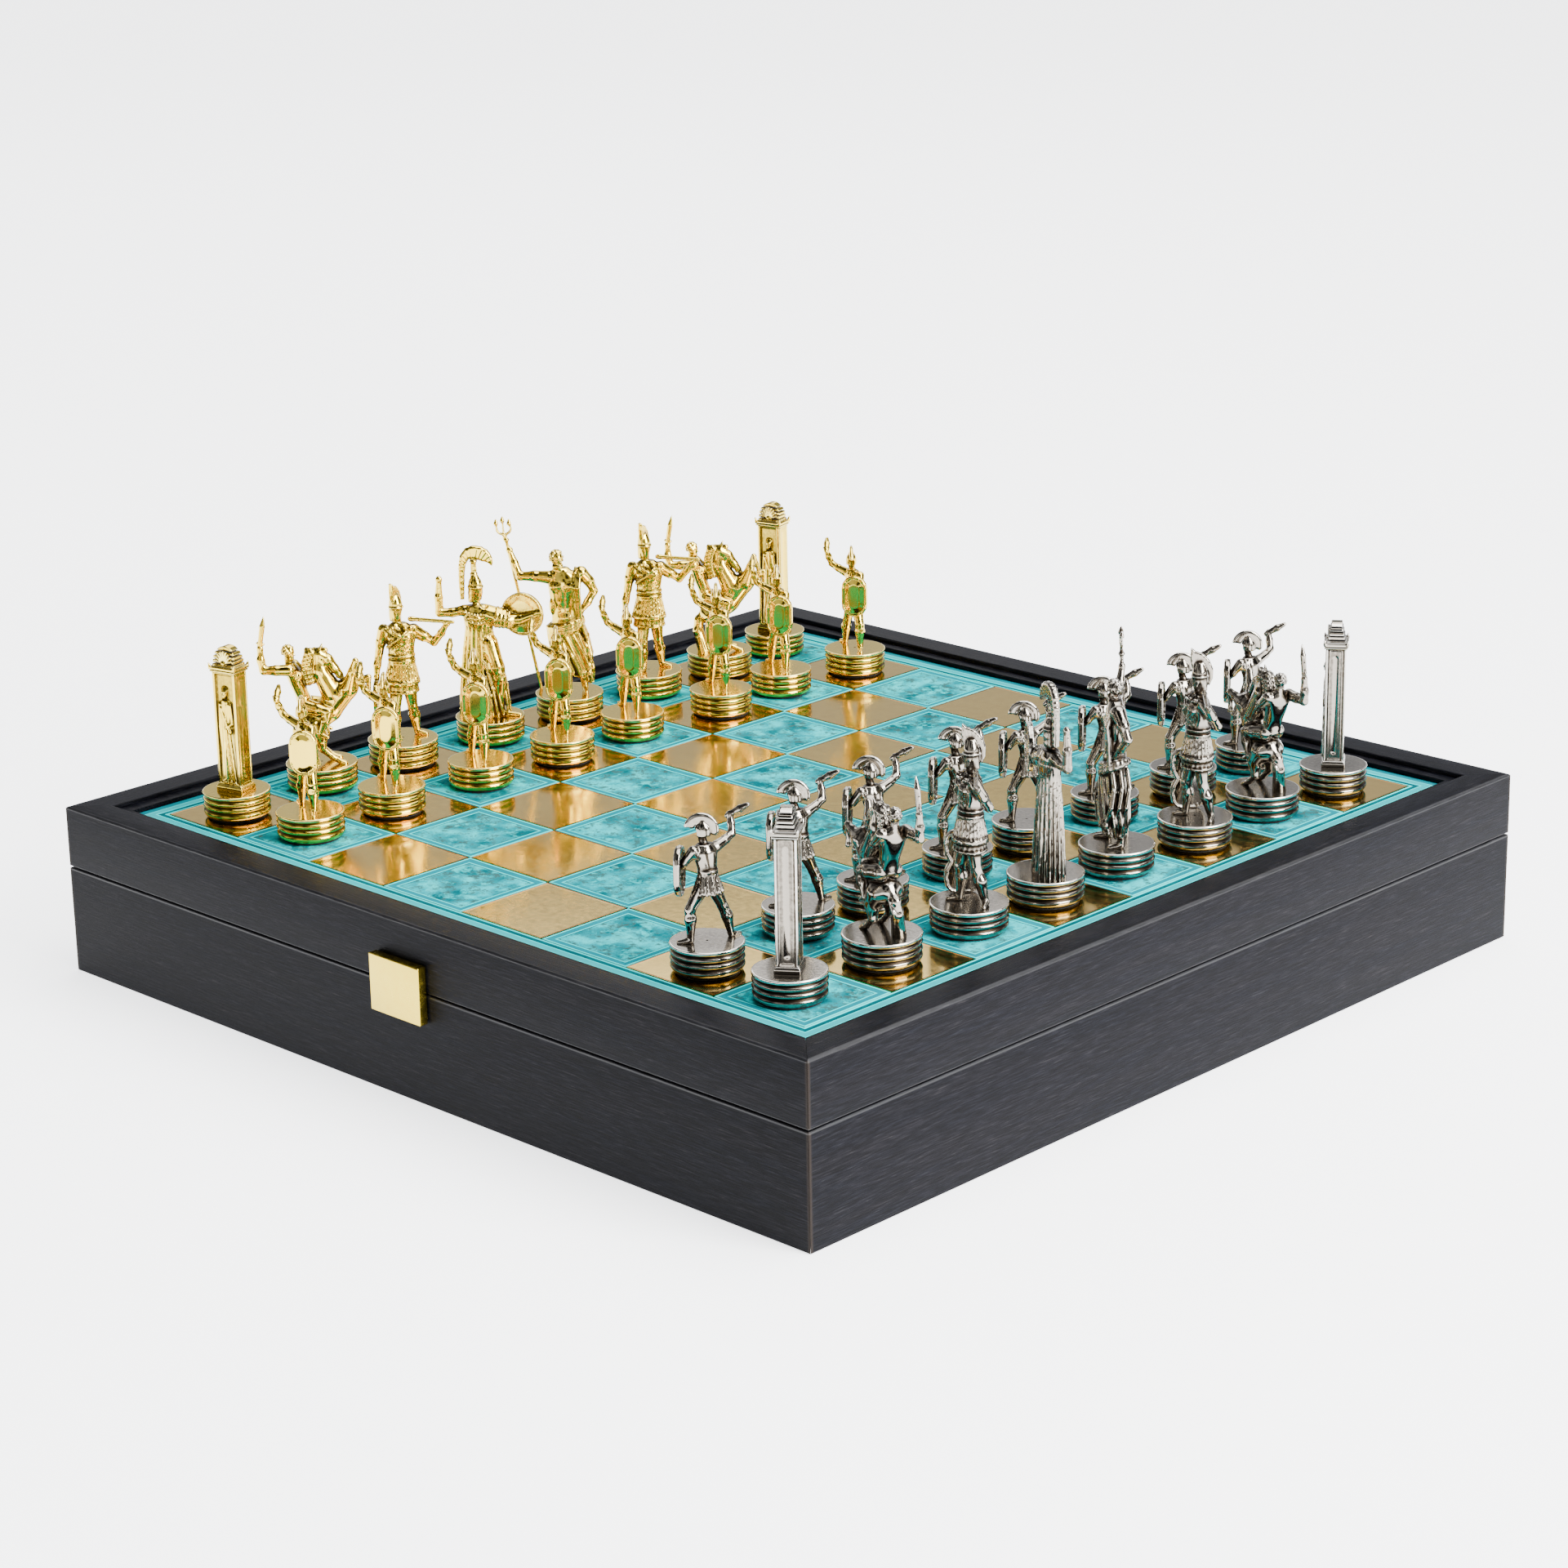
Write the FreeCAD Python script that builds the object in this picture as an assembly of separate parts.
import FreeCAD, Part

# Chess set: thirty-two cast metal figures on a metal board, which is let into the hinged lid of a
# wooden storage case.
#
# Millimetres. +Z is up, the front with the clasp faces -Y, the hinges are at +Y. The origin is the
# centre of the case's underside. The gold army stands on the -X side, the silver army on the +X side.

import math
import os

V = FreeCAD.Vector
OUT = "parts"

# Board
square = 36.5
squares_per_side = 8
border_strip = 11.2
board_thickness = 2.5
line_width = 0.6
line_depth = 0.3

# Case, from the outside in
rim_width = 11.3
moulding_width = 1.5
moulding_drop = 1.8
board_recess = 3.5
lid_height = 20.8
seam_gap = 0.4
base_wall_height = 36.6
base_wall_thickness = 10.0
floor_thickness = 4.0
floor_rebate_width = 5.0
panel_thickness = 4.0
panel_seat_width = 2.0
panel_clearance = 0.15
lining_thickness = 1.0
lining_clearance = 0.4
divider_thickness = 6.0
divider_height = 24.0
seam_chamfer = 0.5
arris_chamfer = 0.8

# Butt hinges
hinge_offset = 105.0
leaf_length = 30.0
leaf_thickness = 1.2
leaf_depth = 8.5
knuckle_radius = 2.1
knuckle_wall_gap = 0.2
knuckle_end_gap = 0.15
pin_radius = 0.9
pin_clearance = 0.05
screws_per_leaf = 3
screw_radius = 1.1
screw_head_radius = 2.1
screw_length = 8.0
screw_pitch = 10.0

# Clasp
clasp_width = 24.4
clasp_height = 18.6
clasp_plate_thickness = 1.5
clasp_backing_thickness = 1.5
clasp_backing_width = 20.0
clasp_backing_height = 7.0
clasp_pin_radius = 0.9
clasp_pin_head_radius = 1.4
clasp_pin_head_height = 0.5
clasp_pin_spacing = 15.0
clasp_pin_length = 6.0
magnet_radius = 3.5
magnet_gap = 0.3
strike_radius = 4.0
strike_thickness = 1.2

# Figures
felt_thickness = 0.6
figure_base_height = 8.4
small_base_radius = 11.2
large_base_radius = 12.1
base_rib_depth = 0.9
felt_inset = 1.6
king_height = 62.8

# Derived places of the case
board_half = squares_per_side * square / 2 + border_strip
well_half = board_half + moulding_width
case_half = well_half + rim_width
base_inner_half = case_half - base_wall_thickness
lid_bottom = base_wall_height + seam_gap
rim_top = lid_bottom + lid_height
board_top = rim_top - board_recess
board_bottom = board_top - board_thickness
panel_bottom = board_bottom - panel_thickness
lid_inner_half = well_half - panel_seat_width
seam_middle = base_wall_height + seam_gap / 2
hinge_axis_y = case_half + knuckle_wall_gap + knuckle_radius

# The figures are drawn for a king 53.8 tall above his foot, and all six castings follow his height.
foot_top = felt_thickness + figure_base_height
figure_scale = (king_height - foot_top) / 53.8


def block(x0, x1, y0, y1, z0, z1):
    return Part.makeBox(x1 - x0, y1 - y0, z1 - z0, V(x0, y0, z0))


def plate(outline, along, thickness):
    """A flat plate: an outline of points, pushed a thickness along a direction."""
    wire = Part.makePolygon(outline + [outline[0]])
    return Part.Face(wire).extrude(along * thickness)


def turned(profile, centre=V(0, 0, 0)):
    """A turned solid about the vertical line through the centre, from (radius, height) points."""
    points = [centre + V(r, 0, z) for r, z in profile]
    face = Part.Face(Part.makePolygon(points + [points[0]]))
    return face.revolve(centre, V(0, 0, 1), 360)


def ruled(rings):
    """A closed solid with flat sides through rings of points, each ring with as many points."""
    faces = []
    for low, high in zip(rings, rings[1:]):
        count = len(low)
        for k in range(count):
            a, b = low[k], low[(k + 1) % count]
            c, d = high[(k + 1) % count], high[k]
            normal = (b - a).cross(d - a)
            if abs((c - a).dot(normal)) < 1e-6 * normal.Length:
                faces.append(Part.Face(Part.makePolygon([a, b, c, d, a])))
            else:
                faces.append(Part.Face(Part.makePolygon([a, b, c, a])))
                faces.append(Part.Face(Part.makePolygon([a, c, d, a])))
    for ring in (rings[0], rings[-1]):
        faces.append(Part.Face(Part.makePolygon(ring + [ring[0]])))
    shell = Part.Shell(faces)
    shell.sewShape()
    solid = Part.Solid(shell)
    if solid.Volume < 0:
        solid.reverse()
    return solid


def limb(points, radii, sides=4):
    """An arm, leg, neck or shaft: a bar of tapering section through joints, mitred at each."""
    ahead = [(b - a).normalize() for a, b in zip(points, points[1:])]
    rings = []
    across = None
    for k, (point, radius) in enumerate(zip(points, radii)):
        before = ahead[max(k - 1, 0)]
        after = ahead[min(k, len(ahead) - 1)]
        normal = (before + after).normalize()
        if across is None:
            across = normal.cross(V(0.3, 1.0, 0.2)).normalize()
        across = (across - normal * across.dot(normal)).normalize()
        up = normal.cross(across)
        ring = []
        for n in range(sides):
            angle = 2 * math.pi * n / sides
            ring.append(point + across * (radius * math.cos(angle)) + up * (radius * math.sin(angle)))
        rings.append(ring)
    return ruled(rings)


def trunk(levels, sides=7, turn=0.0):
    """A body, skirt or head: level sections, each (x, y, height, half width, half depth)."""
    rings = []
    c, s = math.cos(math.radians(turn)), math.sin(math.radians(turn))
    for x, y, z, wide, deep in levels:
        ring = []
        for n in range(sides):
            angle = 2 * math.pi * (n + 0.5) / sides
            u, v = wide * math.cos(angle), deep * math.sin(angle)
            ring.append(V(x + u * c - v * s, y + u * s + v * c, z))
        rings.append(ring)
    return ruled(rings)


def arc_points(centre, u, v, radius, start, end, steps):
    """Points of an arc in the plane of u and v, angles in degrees from u towards v."""
    points = []
    for n in range(steps + 1):
        angle = math.radians(start + (end - start) * n / steps)
        points.append(centre + u * (radius * math.cos(angle)) + v * (radius * math.sin(angle)))
    return points


def figure_base(radius):
    """The turned foot of a figure: two ribs and a top plate, with grooves between them."""
    low = felt_thickness
    high = felt_thickness + figure_base_height
    groove = radius - base_rib_depth
    return turned([
        (0, low),
        (radius - 1.3 * base_rib_depth, low),
        (radius - base_rib_depth / 3, low + 0.2 * figure_base_height),
        (groove, low + 0.36 * figure_base_height),
        (radius - base_rib_depth / 9, low + 0.52 * figure_base_height),
        (groove, low + 0.7 * figure_base_height),
        (radius, low + 0.82 * figure_base_height),
        (radius, high),
        (0, high),
    ])


def felt_disc(radius):
    return Part.makeCylinder(radius - felt_inset, felt_thickness)


def cast(base_radius, bodies):
    """One casting: its foot and everything that stands on it, in one solid."""
    for body in bodies:
        body.scale(figure_scale)
        body.translate(V(0, 0, foot_top))
    solid = figure_base(base_radius).multiFuse(bodies)
    return Part.makeCompound([solid.Solids[0], felt_disc(base_radius)])


# Pawn: a foot soldier in a wide stride, with a long shield held in front and a short sword raised
# behind the head. The crest of the helmet stands across the view.
def pawn():
    left_hip, left_knee, left_ankle = V(0.7, -0.6, 17.6), V(1.8, -4.8, 10.2), V(1.9, -4.7, 0.8)
    right_hip, right_knee, right_ankle = V(-0.8, 1.6, 17.6), V(-2.5, 4.9, 9.6), V(-3.4, 7.0, 0.8)
    right_shoulder, right_elbow, right_hand = V(-2.6, 3.0, 28.2), V(-8.0, 7.8, 30.2), V(-9.9, 7.3, 35.6)
    left_shoulder, left_elbow, left_hand = V(2.0, -3.4, 28.2), V(2.0, -6.2, 24.5), V(0.0, -7.6, 22.8)
    sword_tip = V(-9.6, 12.6, 38.6)
    head = V(-0.9, -0.7, 29.6)
    shield = V(0.0, -7.7, 21.4)
    legs = [
        limb([left_hip, left_knee, left_ankle, left_ankle + V(0.2, -3.4, -0.6)], [2.5, 1.7, 1.2, 0.8]),
        limb([right_hip, right_knee, right_ankle, right_ankle + V(-1.6, 2.4, -0.6)], [2.5, 1.7, 1.2, 0.8]),
    ]
    body = trunk([
        (-0.1, 0.8, 15.0, 4.5, 4.0),
        (0.0, 0.7, 21.6, 2.8, 2.4),
        (-0.2, 0.2, 25.8, 3.9, 2.7),
        (-0.3, -0.1, 28.8, 4.4, 2.4),
        (-0.4, -0.2, 29.9, 1.6, 1.4),
        (head.x, head.y, head.z + 1.8, 2.1, 1.9),
        (head.x, head.y, head.z + 4.2, 2.3, 2.0),
        (head.x, head.y, head.z + 6.0, 1.0, 0.9),
    ], sides=5, turn=-56)
    brow = head + V(-0.8, 0, 4.0)
    crest_radius, crest_inner_radius, crest_thickness = 5.1, 2.0, 1.6
    crest_start, crest_end = 10, 200
    crest_outline = arc_points(brow, V(0, -1, 0), V(0, 0, 1), crest_radius, crest_start, crest_end, 4)
    crest_outline += arc_points(brow, V(0, -1, 0), V(0, 0, 1), crest_inner_radius, crest_end, crest_start, 1)
    crest = plate(crest_outline, V(1, 0, 0), crest_thickness)
    arms = [
        limb([right_shoulder, right_elbow, right_hand, sword_tip], [1.8, 1.4, 1.2, 0.7], sides=3),
        limb([left_shoulder, left_elbow, left_hand], [1.8, 1.4, 1.1], sides=3),
    ]
    return cast(small_base_radius, legs + arms + [body, crest, long_shield(shield)])


def long_shield(centre):
    """A long shield with round ends and a raised rim."""
    half_width, half_height, thickness, rim = 4.8, 7.5, 1.3, 0.8
    straight = half_height - half_width

    def outline(inset, y):
        points = []
        for level, start in ((straight, 0), (-straight, 180)):
            middle = centre + V(0, y, level)
            points += arc_points(middle, V(1, 0, 0), V(0, 0, 1), half_width - inset, start, start + 180, 2)
        return points

    body = plate(outline(0, 0), V(0, 1, 0), thickness)
    hollow = plate(outline(rim, -1), V(0, 1, 0), 1 + rim / 2)
    return body.cut(hollow)


# Rook: a pillar with framed faces, a draped figure in relief on the front, a cornice, and a round
# palm-leaf ornament between small corner leaves.
def rook():
    half_width, half_depth, shaft_height = 4.6, 3.3, 41.2
    frame, recess = 1.3, 0.5
    foot_height, foot_step = 1.6, 0.6
    cornice_step, cornice_height = 1.0, 1.2
    leaf_radius, leaf_centre = 4.3, 2.6

    shaft = block(-half_width, half_width, -half_depth, half_depth, -0.3, shaft_height)
    low, high = foot_height + frame, shaft_height - frame
    front_pocket = block(-half_width + frame, half_width - frame, -half_depth - 1, -half_depth + 2 * recess,
                         low, high)
    back_pocket = block(-half_width + frame, half_width - frame, half_depth - recess, half_depth + 1,
                        low, high)
    shaft = shaft.cut(front_pocket).cut(back_pocket)
    for side in (-1, 1):
        pocket = block(-1, 1, -half_depth + frame, half_depth - frame, low, high)
        pocket.translate(V(side * (half_width + 1 - recess), 0, 0))
        shaft = shaft.cut(pocket)
    foot = block(-half_width - foot_step, half_width + foot_step, -half_depth - foot_step,
                 half_depth + foot_step, -0.2, foot_height)
    cornice = block(-half_width - cornice_step, half_width + cornice_step, -half_depth - cornice_step,
                    half_depth + cornice_step, shaft_height, shaft_height + cornice_height)
    leaf_bottom = shaft_height + cornice_height
    middle = V(0, -half_depth, leaf_bottom + leaf_centre)
    leaf_outline = [V(leaf_radius, -half_depth, leaf_bottom - 0.2)]
    leaf_outline += arc_points(middle, V(1, 0, 0), V(0, 0, 1), leaf_radius, 0, 180, 6)
    leaf_outline += [V(-leaf_radius, -half_depth, leaf_bottom - 0.2)]
    leaf = plate(leaf_outline, V(0, 1, 0), 2 * half_depth)
    steps = 4
    step_height = (leaf_centre + leaf_radius) / steps
    for k in range(1, steps):
        cut_depth = 0.35 * k
        for side in (-1, 1):
            shaving = block(-leaf_radius - 1, leaf_radius + 1, -1, 1,
                            leaf_bottom + k * step_height, leaf_bottom + (k + 1) * step_height + 0.1)
            shaving.translate(V(0, side * (half_depth + 1 - cut_depth), 0))
            leaf = leaf.cut(shaving)
    corners = []
    for x in (-1, 1):
        for y in (-1, 1):
            corner = V(x * (half_width + 0.2), y * (half_depth + 0.2), leaf_bottom)
            corners.append(limb([corner - V(0, 0, 0.2), corner + V(x * 0.4, y * 0.4, 1.9)], [0.9, 0.4], sides=3))
    relief_front = -half_depth + 0.9
    relief = trunk([
        (0, relief_front, low - 0.1, 2.6, 1.3),
        (0, relief_front, 16.0, 2.0, 1.2),
        (0, relief_front, 25.0, 1.7, 1.1),
        (0, relief_front, 31.0, 2.4, 1.2),
        (0, relief_front, 32.6, 0.9, 0.9),
        (0, relief_front, 36.6, 1.0, 1.0),
    ], sides=5)
    return cast(small_base_radius, [shaft, foot, cornice, leaf, relief] + corners)


# Knight: a bare rider with a raised short sword, on a rearing horse whose tail touches the foot.
def knight():
    rump, loins, chest = V(-2.6, 0, 13.6), V(3.5, 0, 18.4), V(11.0, 0, 26.2)
    horse = [limb([rump, loins, chest], [4.4, 4.5, 3.3], sides=5)]
    withers, crown, muzzle = V(4.5, 0, 24.5), V(1.0, 0, 37.6), V(7.9, 0, 30.6)
    horse.append(limb([withers, V(0.8, 0, 32.0), crown], [4.0, 2.9, 2.2], sides=5))
    horse.append(limb([crown - V(0.6, 0, 0), V(4.4, 0, 35.2), muzzle], [2.2, 2.2, 1.2], sides=5))
    mane_outline = [V(1.0, -0.8, 26.0), V(-2.6, -0.8, 31.0), V(-4.6, -0.8, 37.2), V(-2.4, -0.8, 39.4),
                    V(3.6, -0.8, 39.6), V(3.2, -0.8, 36.0)]
    horse.append(plate(mane_outline, V(0, 1, 0), 1.6))
    for side, hock, hoof in ((-1, V(1.2, -3.2, 5.2), V(7.0, -3.2, 0.8)),
                             (1, V(-0.8, 3.3, 4.8), V(4.6, 3.4, 0.8))):
        hip = rump + V(0.5, side * 2.2, 0)
        horse.append(limb([hip, hock, hoof + V(0.2, 0, -1.0)], [3.6, 1.4, 1.1]))
    for side, knee, hoof in ((-1, V(13.6, -2.6, 36.0), V(15.4, -2.6, 30.4)),
                             (1, V(17.0, 2.4, 28.6), V(16.8, 2.4, 23.4))):
        root = chest + V(-1.0, side * 1.6, -0.6)
        horse.append(limb([root, knee, hoof], [2.4, 1.3, 1.1], sides=3))
    horse.append(limb([rump + V(-2.0, 0, 1.0), V(-7.4, -1.0, 8.2), V(-5.4, -3.0, -0.3)], [1.5, 1.8, 2.1]))
    seat, waist, shoulders = V(-4.0, 0, 19.6), V(-5.6, 0, 24.6), V(-8.4, 0, 33.4)
    head = V(-9.4, 0, 34.4)
    rider = [trunk([
        (seat.x, seat.y, seat.z, 3.0, 3.4),
        (waist.x, waist.y, waist.z, 2.3, 3.0),
        (-7.6, 0, 30.2, 2.8, 4.4),
        (shoulders.x, shoulders.y, shoulders.z, 2.4, 4.5),
        (head.x, head.y, head.z + 0.5, 1.3, 1.3),
        (head.x, head.y, head.z + 2.2, 2.1, 1.8),
        (head.x, head.y, head.z + 5.0, 2.3, 2.0),
        (head.x, head.y, head.z + 6.7, 1.2, 1.0),
    ], sides=6)]
    right_shoulder, right_elbow, right_hand = V(-8.6, -3.6, 33.0), V(-17.2, -3.9, 32.8), V(-18.0, -3.4, 41.0)
    sword_tip = right_hand + V(1.8, 0, 10.8)
    rider.append(limb([right_shoulder, right_elbow, right_hand, sword_tip], [1.8, 1.4, 1.1, 0.4]))
    rider.append(limb([V(-8.0, 3.6, 32.6), V(-3.2, 3.6, 28.4), V(0.6, 1.4, 29.6)], [1.8, 1.5, 1.1], sides=3))
    for side in (-1, 1):
        knee = V(3.4, side * 4.6, 18.8)
        rider.append(limb([seat + V(0.5, side * 2.0, 0.6), knee, V(0.8, side * 5.0, 11.0)], [2.5, 1.7, 0.9]))
    return cast(large_base_radius, horse + rider)


# Bishop: a soldier in a crested helmet, cuirass and pleated kilt, with a rod over one shoulder and
# a waisted shield that stands under the other hand.
def bishop():
    left_shoulder, left_elbow, left_hand = V(5.2, 0.6, 38.4), V(11.8, 3.4, 32.9), V(17.0, -1.4, 40.7)
    right_shoulder, right_elbow, right_hand = V(-4.8, 0.6, 38.4), V(-6.6, 0.6, 30.6), V(-8.0, 0.0, 22.0)
    legs = [
        limb([V(-1.2, -0.5, 19.0), V(-1.8, -2.4, 10.4), V(-1.7, -2.0, 0.8), V(-2.6, -5.6, 0.2)],
             [2.5, 1.9, 1.2, 0.8]),
        limb([V(3.0, 0.5, 19.0), V(3.7, 1.4, 10.6), V(4.4, 4.1, 0.8), V(7.8, 2.8, 0.2)], [2.5, 1.9, 1.2, 0.8]),
    ]
    kilt_and_cuirass = trunk([
        (0.7, 0.2, 17.2, 5.8, 5.2),
        (0.7, 0.2, 21.0, 5.3, 4.7),
        (0.7, 0.2, 20.8, 6.1, 5.4),
        (0.9, 0.3, 27.4, 4.7, 3.9),
        (0.9, 0.3, 29.4, 4.7, 4.0),
        (0.8, 0.3, 36.2, 5.6, 3.9),
        (0.7, 0.4, 39.4, 5.2, 3.2),
        (0.5, 0.5, 41.0, 2.0, 1.9),
    ])
    head = V(-0.3, 0.9, 40.6)
    helmet = trunk([
        (head.x, head.y, head.z, 1.6, 1.6),
        (head.x, head.y, head.z + 2.0, 2.3, 2.0),
        (head.x, head.y, head.z + 6.4, 3.1, 2.7),
        (head.x, head.y, head.z + 9.0, 2.3, 2.0),
        (head.x, head.y, head.z + 10.4, 0.9, 0.8),
    ], sides=7, turn=70)
    back = V(0.342, 0.94, 0)
    up = V(0, 0, 1)
    side = V(-0.94, 0.342, 0)
    crest_foot = head + up * 7.0
    crest_outline = []
    for reach, rise in ((-2.1, 1.6), (-2.0, 7.2), (0.6, 6.8), (3.0, 4.8), (4.5, 1.4), (4.3, -1.6),
                        (3.2, -3.6), (1.8, -2.0), (1.8, 1.0), (0.0, 2.4)):
        crest_outline.append(crest_foot + back * reach + up * rise)
    crest = plate(crest_outline, side, 1.6)
    arms = [
        limb([right_shoulder, right_elbow, right_hand], [1.9, 1.5, 1.0]),
        limb([left_shoulder, left_elbow, left_hand], [1.9, 1.5, 1.0]),
    ]
    rod = limb([V(4.2, 1.2, 41.6), left_hand + V(1.6, -0.6, 0.8)], [0.8, 0.8])
    shield_foot = V(right_hand.x - 0.7, right_hand.y, -0.1)
    shield = plate(waisted_outline(shield_foot, 20.6, 5.9), V(1, 0, 0), 1.4)
    return cast(large_base_radius,
                legs + [kilt_and_cuirass, helmet, crest, rod, shield] + arms)


def waisted_outline(foot, height, half_width):
    """The outline of a shield with two round lobes and a notch at each side, seen along X."""
    shares = ((0.0, 0.45), (0.08, 0.85), (0.26, 1.0), (0.43, 0.9), (0.5, 0.72), (0.57, 0.9),
              (0.74, 1.0), (0.92, 0.85), (1.0, 0.45))
    right = [foot + V(0, reach * half_width, rise * height) for rise, reach in shares]
    left = [foot + V(0, -reach * half_width, rise * height) for rise, reach in reversed(shares)]
    return right + left


# Queen: a woman in a long folded robe and a high crested helmet, one fist raised, the other arm
# stretched out with a round shield behind it.
def queen():
    right_shoulder, right_elbow, right_fist = V(-6.8, -0.3, 38.4), V(-16.0, -0.5, 37.4), V(-15.8, -0.3, 48.6)
    left_elbow, left_hand = V(8.2, -0.8, 34.9), V(18.2, -1.4, 37.0)
    robe = trunk([
        (-2.7, -0.3, -0.3, 8.0, 4.7),
        (-2.7, -0.3, 11.0, 7.3, 4.3),
        (-2.6, -0.3, 26.7, 5.5, 3.6),
        (-2.6, -0.3, 26.4, 6.3, 4.4),
        (-2.6, -0.3, 32.0, 5.1, 3.4),
        (-2.8, -0.3, 37.6, 5.5, 3.2),
        (-3.0, -0.3, 40.0, 3.4, 2.4),
    ])
    head = V(-3.3, -0.4, 39.6)
    helmet = trunk([
        (head.x, head.y, head.z, 1.5, 1.5),
        (head.x, head.y, head.z + 2.4, 2.2, 2.2),
        (head.x, head.y, head.z + 6.2, 3.1, 3.0),
        (head.x, head.y, head.z + 9.0, 2.6, 2.5),
        (head.x, head.y, head.z + 10.8, 1.0, 1.0),
    ], sides=7)
    stem = limb([head + V(-0.4, 0.4, 10.2), head + V(-0.5, 0.4, 18.0)], [0.9, 0.8])
    crest_outline = []
    for x, z in ((2.6, 54.2), (1.8, 58.2), (-0.6, 60.0), (-4.0, 60.6), (-7.2, 59.0), (-8.8, 55.0),
                 (-9.0, 49.0), (-8.8, 42.2), (-7.3, 42.4), (-6.9, 49.0), (-6.2, 55.0), (-4.6, 57.4),
                 (-1.8, 57.6), (0.2, 56.4), (1.3, 54.0)):
        crest_outline.append(V(x, -1.1, z))
    crest = plate(crest_outline, V(0, 1, 0), 2.2)
    arms = [
        limb([right_shoulder, right_elbow, right_fist], [1.6, 1.4, 1.1]),
        limb([V(0.8, -0.4, 36.6), left_elbow], [3.8, 2.6], sides=6),
        limb([left_elbow - V(1.5, 0, 0.3), left_hand], [1.6, 1.2]),
    ]
    shield = Part.makeCylinder(7.6, 1.2, V(12.7, -0.6, 36.0), V(0, 1, 0))
    foot = limb([V(3.5, -1.0, 0.9), V(10.4, -2.6, 0.3)], [1.4, 1.0])
    return cast(large_base_radius, [robe, helmet, stem, crest, shield, foot] + arms)


# King: a bearded man, bare to the waist, with a cloth round his hips, one hand on the hip and a
# three-pronged spear in the other.
def king():
    right_shoulder, right_elbow, right_hand = V(-5.2, -0.4, 42.4), V(-16.2, 1.4, 42.4), V(-19.6, 2.9, 51.6)
    left_shoulder, left_elbow, left_hand = V(5.4, -0.4, 44.0), V(9.6, 2.2, 36.4), V(4.9, -1.0, 29.8)
    spear_foot, spear_neck = V(-10.2, 4.2, -0.2), V(-20.9, 2.8, 57.4)
    legs = [
        limb([V(4.8, 0.2, 12.0), V(5.7, 0.9, 0.8), V(6.2, -2.6, 0.2)], [2.3, 1.3, 0.8]),
        limb([V(-2.8, -1.6, 12.0), V(-4.2, -2.2, 0.8), V(-5.2, -6.0, 0.2)], [2.3, 1.3, 0.8]),
    ]
    skirt = trunk([
        (1.0, -1.3, 6.0, 6.4, 4.6),
        (1.2, -1.4, 13.0, 7.4, 5.4),
        (0.3, -1.2, 21.6, 6.2, 4.6),
        (-0.1, -0.9, 22.4, 6.7, 5.0),
        (-0.2, -0.9, 25.8, 6.2, 4.5),
    ])
    torso = trunk([
        (-0.4, -0.8, 25.0, 4.6, 3.4),
        (-0.5, -0.7, 33.0, 5.0, 3.5),
        (-0.2, -0.5, 41.2, 6.2, 3.7),
        (-0.6, -0.5, 44.6, 5.2, 2.8),
        (-1.8, -0.6, 46.2, 2.0, 1.8),
    ])
    head = V(-2.9, -0.9, 44.6)
    bust = trunk([
        (head.x, head.y, head.z - 0.4, 1.6, 1.6),
        (head.x, head.y, head.z + 2.4, 2.4, 2.6),
        (head.x, head.y, head.z + 6.0, 2.7, 3.0),
        (head.x, head.y, head.z + 8.0, 2.2, 2.4),
        (head.x, head.y, head.z + 9.2, 0.9, 1.0),
    ], sides=7)
    arms = [
        limb([right_shoulder, right_elbow, right_hand], [2.1, 1.5, 1.0]),
        limb([left_shoulder, left_elbow, left_hand], [2.1, 1.5, 1.1]),
    ]
    spear = limb([spear_foot, spear_neck], [0.65, 0.6])
    aim = (spear_neck - spear_foot).normalize()
    across = V(1, 0, 0)
    fork = []
    reach, tine_height = 2.6, 5.0
    fork_face = spear_neck - V(0.6, 0.5, 0) - aim * 0.6
    outline = [fork_face + across * a + aim * h for a, h in (
        (0.0, 0.0), (1.8, 0.7), (reach, 2.2), (reach, tine_height), (1.7, 2.6), (0.5, 1.5),
        (0.0, tine_height + 1.0), (-0.5, 1.5), (-1.7, 2.6), (-reach, tine_height), (-reach, 2.2), (-1.8, 0.7))]
    fork.append(plate(outline, V(0, 1, 0), 1.0))
    return cast(large_base_radius, legs + [skirt, torso, bust, spear] + arms + fork)


# The case. Each wall is a moulded length, mitred at both ends.
def mitred_wall(profile, quarter_turns):
    """A wall on the front side from (distance out, height) points, mitred and turned to its side."""
    points = [V(-2 * case_half, -out, z) for out, z in profile]
    length = Part.Face(Part.makePolygon(points + [points[0]])).extrude(V(4 * case_half, 0, 0))
    wedge = plate([V(0, 0, -1), V(2 * case_half, -2 * case_half, -1), V(-2 * case_half, -2 * case_half, -1)],
                  V(0, 0, 1), rim_top + 2)
    wall = length.common(wedge)
    wall.rotate(V(0, 0, 0), V(0, 0, 1), 90 * quarter_turns)
    return wall


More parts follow.
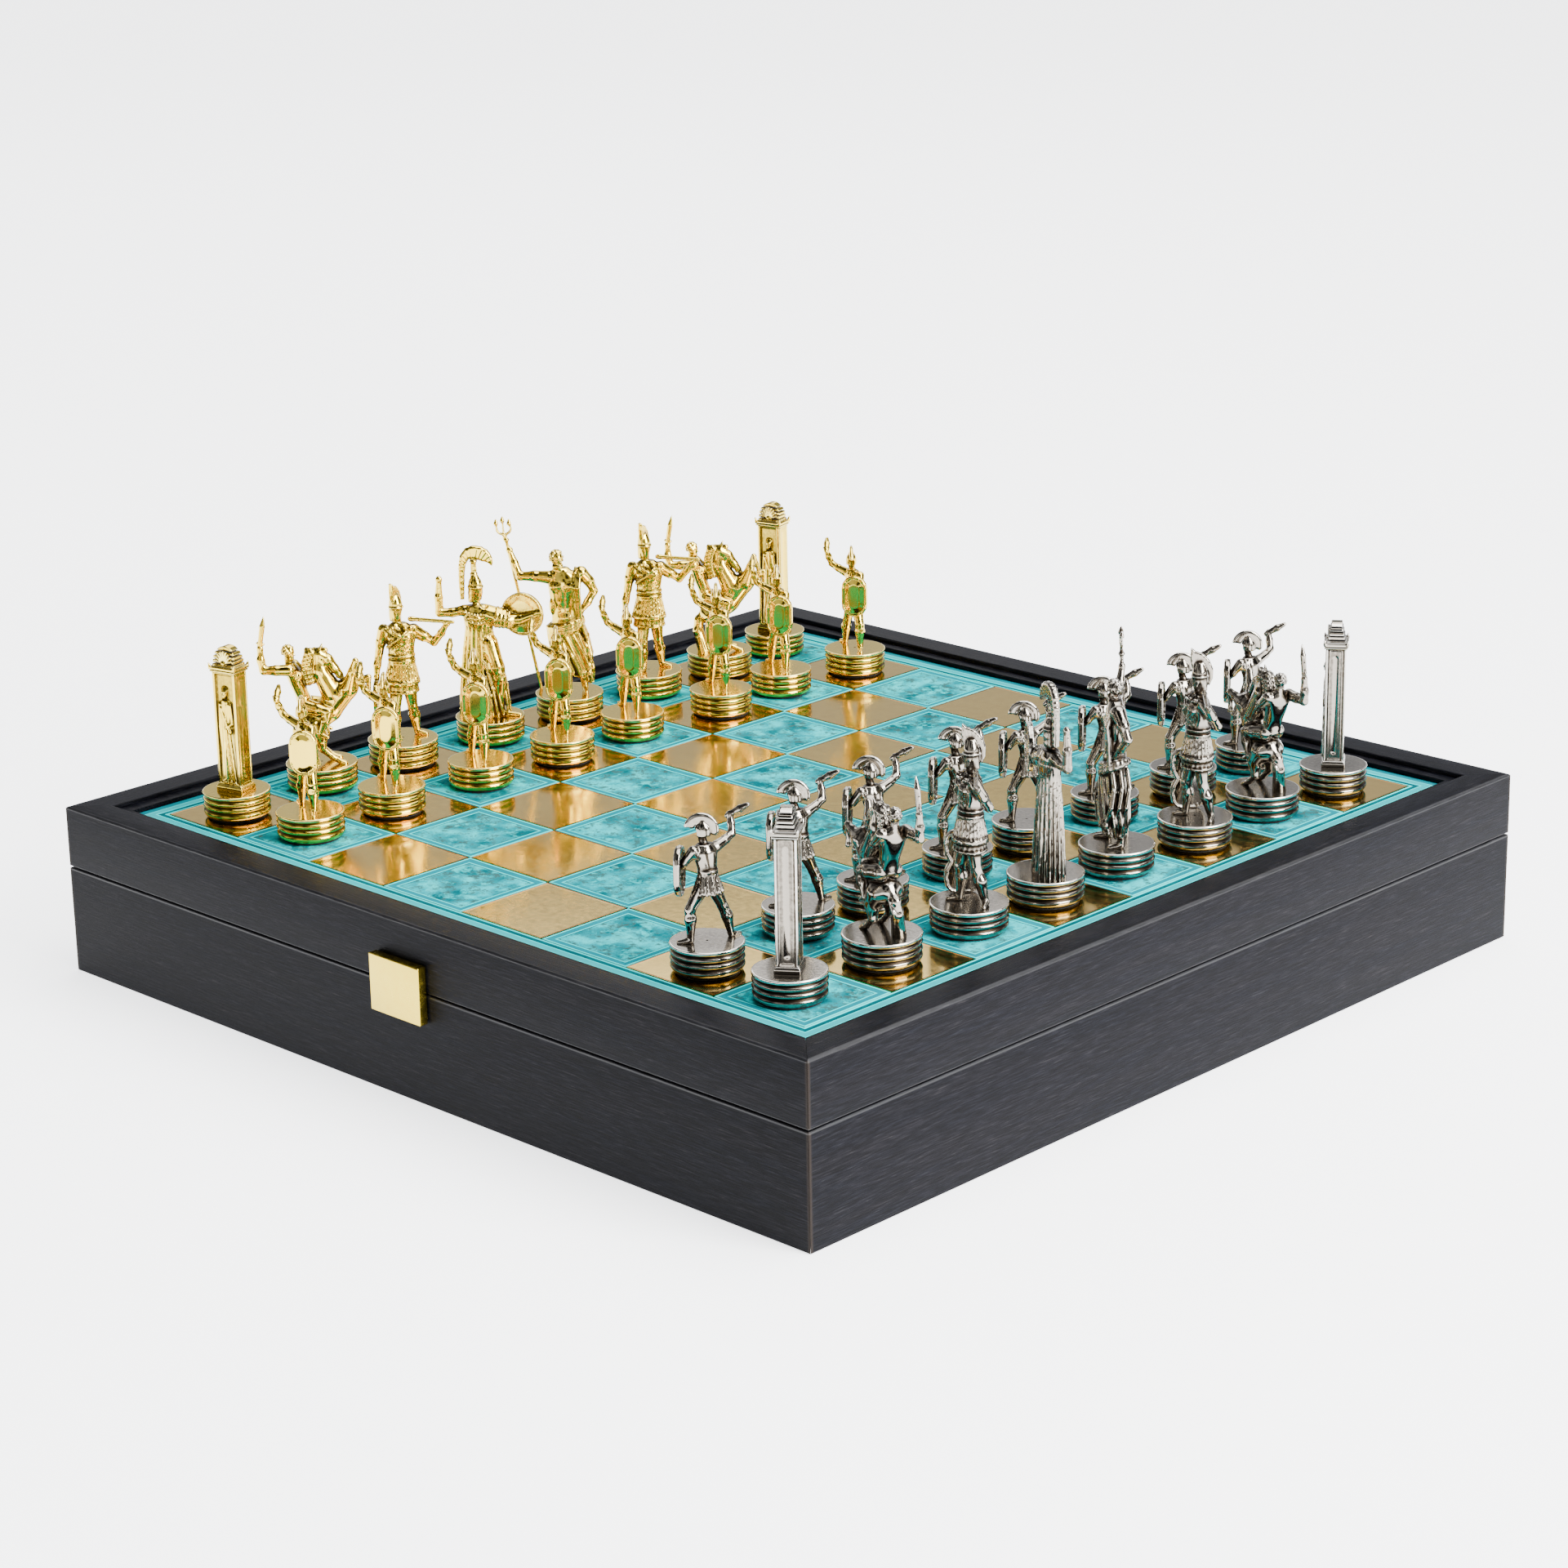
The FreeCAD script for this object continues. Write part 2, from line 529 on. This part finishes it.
base_profile = [
    (case_half - arris_chamfer, 0),
    (case_half, arris_chamfer),
    (case_half, base_wall_height - seam_chamfer),
    (case_half - seam_chamfer, base_wall_height),
    (base_inner_half, base_wall_height),
    (base_inner_half, floor_thickness),
    (base_inner_half + floor_rebate_width, floor_thickness),
    (base_inner_half + floor_rebate_width, 0),
]
lid_profile = [
    (case_half - seam_chamfer, lid_bottom),
    (case_half, lid_bottom + seam_chamfer),
    (case_half, rim_top - arris_chamfer),
    (case_half - arris_chamfer, rim_top),
    (well_half, rim_top),
    (well_half, panel_bottom),
    (lid_inner_half, panel_bottom),
    (lid_inner_half, lid_bottom),
]
moulding_profile = [
    (well_half, board_top),
    (well_half, rim_top - moulding_drop),
    (well_half - moulding_width, rim_top - moulding_drop),
    (well_half - moulding_width, board_top),
]
SIDES = ("front", "right", "back", "left")


def hinge_places():
    return [("left", -hinge_offset), ("right", hinge_offset)]


def screw_places(x):
    first = x - screw_pitch * (screws_per_leaf - 1) / 2
    return [first + screw_pitch * k for k in range(screws_per_leaf)]


leaf_front = case_half - leaf_depth
leaf_middle = case_half - leaf_depth / 2


def leaf_mortise(x, low, high):
    return block(x - leaf_length / 2, x + leaf_length / 2, leaf_front, case_half + 1, low, high)


def wood_screw(x, face, inward):
    """A countersunk screw whose head lies flush with a leaf's face, pointing inward along Z."""
    profile = [
        (0, face),
        (screw_head_radius, face),
        (screw_radius, face + inward * (screw_head_radius - screw_radius)),
        (screw_radius, face + inward * screw_length),
        (0, face + inward * (screw_length + screw_radius)),
    ]
    return turned(profile, V(x, leaf_middle, 0))


def base_wall(side):
    wall = mitred_wall(base_profile, SIDES.index(side))
    if side == "back":
        for _, x in hinge_places():
            wall = wall.cut(leaf_mortise(x, base_wall_height - leaf_thickness, base_wall_height + 1))
            for place in screw_places(x):
                wall = wall.cut(wood_screw(place, base_wall_height, -1))
    if side == "front":
        wall = wall.cut(strike_disc())
    return wall


def lid_wall(side):
    wall = mitred_wall(lid_profile, SIDES.index(side))
    if side == "back":
        for _, x in hinge_places():
            wall = wall.cut(leaf_mortise(x, lid_bottom - 1, lid_bottom + leaf_thickness))
            for place in screw_places(x):
                wall = wall.cut(wood_screw(place, lid_bottom, 1))
    if side == "front":
        wall = wall.cut(Part.makeCompound(clasp_pins()))
    return wall


def knuckle_spans(x, leaf):
    """The lengths of knuckle along X that belong to one leaf: the lid's is the middle third."""
    third = leaf_length / 3
    if leaf == "lid":
        return [(x - third / 2 + knuckle_end_gap, x + third / 2 - knuckle_end_gap)]
    return [(x - leaf_length / 2, x - third / 2), (x + third / 2, x + leaf_length / 2)]


def hinge_leaf(x, leaf):
    if leaf == "lid":
        low, high = lid_bottom, lid_bottom + leaf_thickness
        other, face, inward = "base", lid_bottom, 1
    else:
        low, high = base_wall_height - leaf_thickness, base_wall_height
        other, face, inward = "lid", base_wall_height, -1
    axis = V(0, hinge_axis_y, seam_middle)
    shape = block(x - leaf_length / 2, x + leaf_length / 2, leaf_front, hinge_axis_y, low, high)
    for start, end in knuckle_spans(x, other):
        room = Part.makeCylinder(knuckle_radius + knuckle_wall_gap, end - start + 2 * knuckle_end_gap,
                                 V(start - knuckle_end_gap, axis.y, axis.z), V(1, 0, 0))
        shape = shape.cut(room)
    for start, end in knuckle_spans(x, leaf):
        shape = shape.fuse(Part.makeCylinder(knuckle_radius, end - start, V(start, axis.y, axis.z), V(1, 0, 0)))
    bore = Part.makeCylinder(pin_radius + pin_clearance, leaf_length + 2,
                             V(x - leaf_length / 2 - 1, axis.y, axis.z), V(1, 0, 0))
    shape = shape.cut(bore)
    for place in screw_places(x):
        shape = shape.cut(wood_screw(place, face, inward))
    return shape.removeSplitter()


def hinge_pin(x):
    return Part.makeCylinder(pin_radius, leaf_length, V(x - leaf_length / 2, hinge_axis_y, seam_middle),
                             V(1, 0, 0))


# The clasp: a plain plate on the lid's front that hangs over the seam, held by a magnet.
clasp_back = -case_half - clasp_backing_thickness
clasp_front = clasp_back - clasp_plate_thickness
clasp_top = seam_middle + clasp_height / 2
backing_top = clasp_top - 0.6
backing_bottom = backing_top - clasp_backing_height
pin_level = (backing_top + backing_bottom) / 2
magnet_level = seam_middle - clasp_height / 4


def clasp_pins():
    pins = []
    for side in (-1, 1):
        x = side * clasp_pin_spacing / 2
        shank = Part.makeCylinder(clasp_pin_radius, clasp_pin_length + clasp_plate_thickness
                                  + clasp_backing_thickness, V(x, clasp_front, pin_level), V(0, 1, 0))
        head = Part.makeCylinder(clasp_pin_head_radius, clasp_pin_head_height,
                                 V(x, clasp_front - clasp_pin_head_height, pin_level), V(0, 1, 0))
        pins.append(shank.fuse(head).removeSplitter())
    return pins


def strike_disc():
    return Part.makeCylinder(strike_radius, strike_thickness, V(0, -case_half, magnet_level), V(0, 1, 0))


def clasp_parts():
    plate_body = block(-clasp_width / 2, clasp_width / 2, clasp_front, clasp_back,
                       clasp_top - clasp_height, clasp_top)
    edges = [e for e in plate_body.Edges if abs(e.Vertexes[0].Y - e.Vertexes[1].Y) > 1]
    plate_body = plate_body.makeFillet(1.0, edges)
    backing = block(-clasp_backing_width / 2, clasp_backing_width / 2, clasp_back, -case_half,
                    backing_bottom, backing_top)
    for pin in clasp_pins():
        plate_body = plate_body.cut(pin)
        backing = backing.cut(pin)
    magnet = Part.makeCylinder(magnet_radius, clasp_backing_thickness - magnet_gap,
                               V(0, clasp_back, magnet_level), V(0, 1, 0))
    return plate_body, backing, magnet


# The board: one metal plate, with a fine groove cut along every line between squares.
def board():
    half = well_half - panel_clearance
    field = squares_per_side * square / 2
    body = block(-half, half, -half, half, board_bottom, board_top)
    grooves = []
    for k in range(squares_per_side + 1):
        place = -field + k * square
        for along_x in (True, False):
            low, high = (-field, field), (place - line_width / 2, place + line_width / 2)
            spans = low + high if along_x else high + low
            grooves.append(block(*spans, board_top - line_depth, board_top + 1))
    tool = grooves[0].multiFuse(grooves[1:])
    return body.cut(tool).removeSplitter()


# Where each figure is set down: its kind and how far it stands from the centre of its square.
GOLD_RANK = [("rook", -0.5, -3.0), ("knight", -2.5, -1.5), ("bishop", -2.5, -2.0), ("queen", 0.0, -0.5),
             ("king", 0.0, 1.0), ("bishop", 1.0, 3.0), ("knight", 1.5, 2.5), ("rook", -2.0, -1.0)]
GOLD_PAWNS = [(-0.5, -1.5), (-1.0, -3.0), (0.0, -1.0), (0.0, 0.0), (-1.5, -1.5), (1.5, 3.0), (0.0, -1.0),
              (2.0, 0.0)]
SILVER_RANK = [("rook", -0.5, -4.5), ("knight", -1.5, -1.0), ("bishop", 0.0, -0.5), ("queen", -0.5, -1.0),
               ("king", -1.5, -2.0), ("bishop", 0.5, -1.5), ("knight", -1.0, -0.5), ("rook", 1.0, -1.0)]
SILVER_PAWNS = [(1.5, -3.5), (-0.5, 0.5), (0.5, -4.0), (0.0, -1.0), (-1.5, -2.5), (-0.5, -1.0), (1.5, 1.0),
                (1.5, 0.0)]


def turn_of(army, kind):
    """How far a figure is turned about its own foot, in degrees from the casting's own front."""
    if army == "gold":
        return 14 if kind == "rook" else 44
    return {"rook": -55, "knight": 159, "bishop": -36, "queen": 152, "king": -46, "pawn": -46}[kind]


MAKERS = {"pawn": pawn, "rook": rook, "knight": knight, "bishop": bishop, "queen": queen, "king": king}


def set_down(castings, army, rank, file_x):
    """Copies of the castings for one rank of one army, each named, turned and put on its square."""
    placed = {}
    count = {}
    total = {}
    for kind, _, _ in rank:
        total[kind] = total.get(kind, 0) + 1
    for j, (kind, off_x, off_y) in enumerate(rank):
        count[kind] = count.get(kind, 0) + 1
        name = f"{army}_{kind}" if total[kind] == 1 else f"{army}_{kind}_{count[kind]}"
        figure = castings[kind].copy()
        figure.rotate(V(0, 0, 0), V(0, 0, 1), turn_of(army, kind))
        row_y = (j - (squares_per_side - 1) / 2) * square
        figure.translate(V(file_x + off_x, row_y + off_y, board_top))
        placed[name] = figure
    return placed


def build():
    parts = {}
    for side in SIDES:
        parts[f"base_wall_{side}"] = base_wall(side)
        parts[f"lid_wall_{side}"] = lid_wall(side)
    floor_half = base_inner_half + floor_rebate_width - panel_clearance
    parts["base_floor"] = block(-floor_half, floor_half, -floor_half, floor_half, 0, floor_thickness)
    half_divider = divider_thickness / 2
    parts["compartment_divider"] = block(-half_divider, half_divider, -base_inner_half, base_inner_half,
                                         floor_thickness, floor_thickness + divider_height)
    linings = []
    reach = base_inner_half - lining_clearance
    for side in (-1, 1):
        near, far = sorted((side * (half_divider + lining_clearance), side * reach))
        linings.append(block(near, far, -reach, reach, floor_thickness, floor_thickness + lining_thickness))
    parts["base_lining"] = Part.makeCompound(linings)
    panel_half = well_half - panel_clearance
    parts["lid_panel"] = block(-panel_half, panel_half, -panel_half, panel_half, panel_bottom, board_bottom)
    lid_reach = lid_inner_half - lining_clearance
    parts["lid_lining"] = block(-lid_reach, lid_reach, -lid_reach, lid_reach,
                                panel_bottom - lining_thickness, panel_bottom)
    parts["board_plate"] = board()
    parts["board_moulding"] = Part.makeCompound([mitred_wall(moulding_profile, k) for k in range(4)])
    base_screws, lid_screws = [], []
    for name, x in hinge_places():
        parts[f"{name}_hinge_base_leaf"] = hinge_leaf(x, "base")
        parts[f"{name}_hinge_lid_leaf"] = hinge_leaf(x, "lid")
        parts[f"{name}_hinge_pin"] = hinge_pin(x)
        base_screws += [wood_screw(place, base_wall_height, -1) for place in screw_places(x)]
        lid_screws += [wood_screw(place, lid_bottom, 1) for place in screw_places(x)]
    parts["hinge_base_screws"] = Part.makeCompound(base_screws)
    parts["hinge_lid_screws"] = Part.makeCompound(lid_screws)
    parts["clasp_plate"], parts["clasp_backing"], parts["clasp_magnet"] = clasp_parts()
    parts["clasp_pins"] = Part.makeCompound(clasp_pins())
    parts["clasp_strike"] = strike_disc()
    castings = {kind: make() for kind, make in MAKERS.items()}
    back_x = (squares_per_side - 1) / 2 * square
    front_x = back_x - square
    pawns = {"gold": [("pawn", x, y) for x, y in GOLD_PAWNS],
             "silver": [("pawn", x, y) for x, y in SILVER_PAWNS]}
    parts.update(set_down(castings, "gold", GOLD_RANK, -back_x))
    parts.update(set_down(castings, "gold", pawns["gold"], -front_x))
    parts.update(set_down(castings, "silver", SILVER_RANK, back_x))
    parts.update(set_down(castings, "silver", pawns["silver"], front_x))
    return parts


os.makedirs(OUT, exist_ok=True)
for name, shape in build().items():
    shape.exportStep(os.path.join(OUT, name + ".step"))
